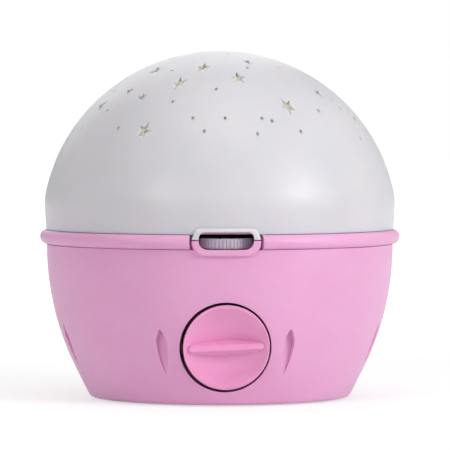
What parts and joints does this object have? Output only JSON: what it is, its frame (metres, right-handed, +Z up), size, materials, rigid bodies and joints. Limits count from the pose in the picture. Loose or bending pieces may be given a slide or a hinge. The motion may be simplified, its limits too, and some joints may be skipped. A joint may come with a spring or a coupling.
{
  "type": "star_projector_night_light",
  "caption": "Dome-shaped star projector night light for a nursery: white pierced dome, pink bowl base with front dial and thumbwheel",
  "frame": {"origin": "centre of the plane that the four rubber feet stand on, on the axis of the bowl and dome", "axes": "+Z up along the axis of the dome, -Y towards the front with the dial and the wheel window, +X to the right seen from the front"},
  "size_m": [0.165, 0.1642, 0.1588],
  "materials": {
    "pink_shell": "satin moulded ABS, pink",
    "white_shell": "semi-gloss moulded ABS, white",
    "wheel_plastic": "ribbed, grey lilac",
    "dark_plastic": "moulded, black",
    "inner_plastic": "moulded, off-white",
    "board": "coated circuit board",
    "lamp_amber": "clear tinted epoxy",
    "lamp_green": "clear tinted epoxy",
    "lamp_blue": "clear tinted epoxy",
    "steel": "zinc plated",
    "pressed_steel": "plated sheet",
    "cone_paper": "pressed paper, dark",
    "ferrite": "bare ferrite",
    "foot_rubber": "soft, pale grey",
    "lead_sleeve": "soft PVC sleeve"
  },
  "bodies": {
    "housing": {"base_bowl": "pink_shell", "dome_shell": "white_shell", "rim_band": "pink_shell", "rotary_switch": "dark_plastic", "switch_nut": "steel", "wheel_pot": "dark_plastic", "pot_nut": "steel", "light_tray": "inner_plastic", "dome_screws": "steel", "led_pedestal": "inner_plastic", "pedestal_screws": "steel", "led_board": "board", "led_board_screw": "steel", "led_amber": "lamp_amber", "led_green": "lamp_green", "led_blue": "lamp_blue", "speaker_frame": "pressed_steel", "speaker_cone": "cone_paper", "speaker_magnet": "ferrite", "speaker_screws": "steel", "base_plate": "pink_shell", "base_screws": "steel", "foot_pads": "foot_rubber", "battery_cells": "pressed_steel", "contact_plates": "steel", "contact_springs": "steel", "main_board": "board", "board_screws": "steel", "control_chip": "dark_plastic", "board_capacitors": "dark_plastic", "board_sockets": "inner_plastic", "lamp_lead": "lead_sleeve", "speaker_lead": "lead_sleeve", "switch_lead": "lead_sleeve", "wheel_lead": "lead_sleeve", "battery_lead": "lead_sleeve"},
    "dial": {"front_dial": "pink_shell", "dial_shaft": "steel"},
    "wheel": {"volume_wheel": "wheel_plastic", "wheel_shaft": "steel"},
    "door": {"battery_door": "pink_shell", "door_screw": "steel"}
  },
  "joints": [
    {"name": "dial_turn", "type": "hinge", "parent": "housing", "child": "dial", "pos_m": [0.0004, -0.06, 0.027], "axis": [0, -1, 0], "range_deg": [-45, 45]},
    {"name": "wheel_turn", "type": "hinge", "parent": "housing", "child": "wheel", "pos_m": [0, -0.0655, 0.0733], "axis": [0, 0, 1], "range_deg": [-135, 135]},
    {"name": "door_swing", "type": "hinge", "parent": "housing", "child": "door", "pos_m": [-0.0285, 0.003, 0.0018], "axis": [0, 1, 0], "range_deg": [0, 40]}
  ]
}
